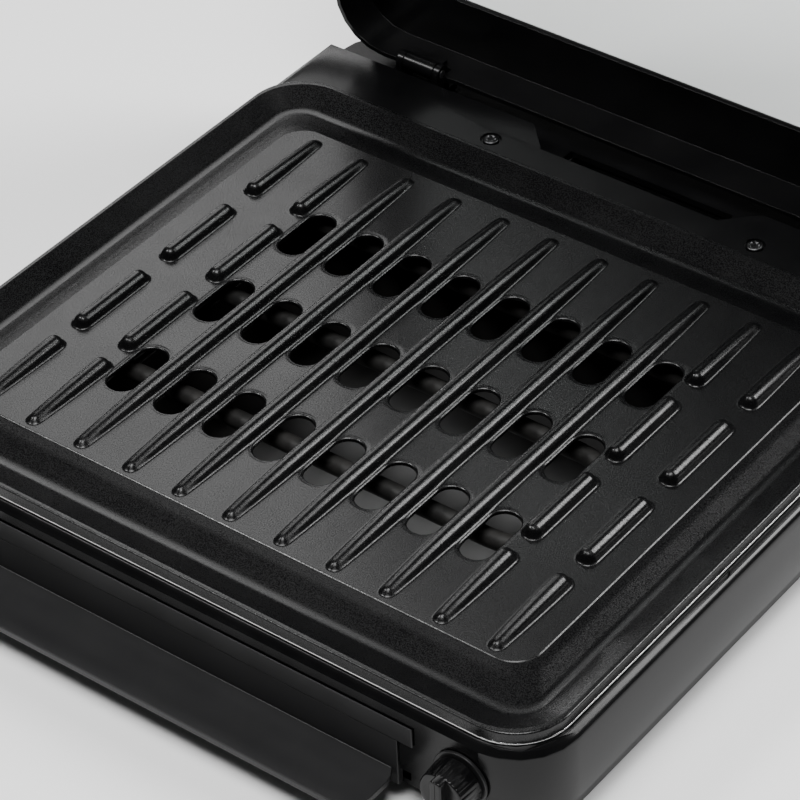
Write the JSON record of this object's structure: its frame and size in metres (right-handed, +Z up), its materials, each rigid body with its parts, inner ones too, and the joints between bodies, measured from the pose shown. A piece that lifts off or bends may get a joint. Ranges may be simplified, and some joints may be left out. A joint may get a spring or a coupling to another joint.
{
  "type": "smokeless indoor grill",
  "caption": "Countertop smokeless grill with a ribbed, slotted drip-through plate, tube heater, pull-out drip tray, smoke fan and a hinged glass lid standing open.",
  "frame": {"origin": "on the table, under the middle of the whole product's box", "axes": "+X to the product's right seen from the front, +Y to its rear, +Z up"},
  "size_m": [0.347, 0.4128, 0.3822],
  "materials": {
    "satin_coating": "satin non-stick coating, dark charcoal",
    "black_moulding": "fine-textured black moulding",
    "grey_moulding": "satin dark grey moulding",
    "rubber": "matt black rubber",
    "bright_sheet": "bright sheet metal",
    "pale_aluminium": "plain satin aluminium sheet",
    "steel": "plain steel",
    "heater_sheath": "heat-darkened steel sheath",
    "glass": "clear tempered glass",
    "lamp_red": "red lamp lens",
    "ceramic": "cream insulating block",
    "motor_can": "drawn steel can"
  },
  "bodies": {
    "base": {"base_screw_front_left": "steel", "base_screw_front_right": "steel", "base_screw_rear_left": "steel", "base_screw_rear_right": "steel", "bottom_cover": "black_moulding", "fan_cheek_left": "steel", "fan_cheek_right": "steel", "fan_motor": "motor_can", "fan_scroll": "black_moulding", "foot_front_left": "rubber", "foot_front_right": "rubber", "foot_rear_left": "rubber", "foot_rear_right": "rubber", "front_trim": "grey_moulding", "heat_liner": "bright_sheet", "heater_support_left": "steel", "heater_support_right": "steel", "heater_tube": "heater_sheath", "hinge_bracket_left": "black_moulding", "hinge_bracket_right": "black_moulding", "hinge_pin_left": "steel", "hinge_pin_right": "steel", "housing_shell": "black_moulding", "knob_bezel": "grey_moulding", "lamp_lens": "lamp_red", "ledge_screw_left": "steel", "ledge_screw_right": "steel", "power_inlet": "black_moulding", "rear_grille": "black_moulding", "switch_frame": "black_moulding", "terminal_block": "ceramic", "thermostat": "ceramic", "tray_rail_left": "bright_sheet", "tray_rail_right": "bright_sheet"},
    "plate": {"grill_plate": "satin_coating"},
    "tray": {"drip_tray": "pale_aluminium", "tray_front": "black_moulding"},
    "lid": {"lid_frame": "black_moulding", "lid_gasket": "rubber", "lid_glass": "glass", "lid_handle": "black_moulding", "handle_screw_left": "steel", "handle_screw_right": "steel"},
    "knob": {"control_knob": "black_moulding", "thermostat_shaft": "steel"},
    "rocker": {"power_rocker": "black_moulding"},
    "fan": {"fan_drum": "black_moulding", "fan_shaft": "steel"}
  },
  "joints": [
    {"name": "lid_hinge", "type": "hinge", "parent": "base", "child": "lid", "pos_m": [0, 0.1511, 0.0515], "axis": [1, 0, 0], "range_deg": [0, 90]},
    {"name": "plate_lift", "type": "slide", "parent": "base", "child": "plate", "axis": [0, 0, 1], "range_m": [0, 0.01]},
    {"name": "tray_slide", "type": "slide", "parent": "base", "child": "tray", "axis": [0, -1, 0], "range_m": [0, 0.2]},
    {"name": "knob_turn", "type": "hinge", "parent": "base", "child": "knob", "pos_m": [0.14, -0.1799, 0.03], "axis": [0, 1, 0], "range_deg": [0, 270]},
    {"name": "rocker_tip", "type": "hinge", "parent": "base", "child": "rocker", "pos_m": [-0.142, -0.1793, 0.03], "axis": [1, 0, 0], "range_deg": [-18, 0]},
    {"name": "fan_spin", "type": "hinge", "parent": "base", "child": "fan", "pos_m": [0, 0.1576, 0.0225], "axis": [1, 0, 0], "continuous": true}
  ]
}
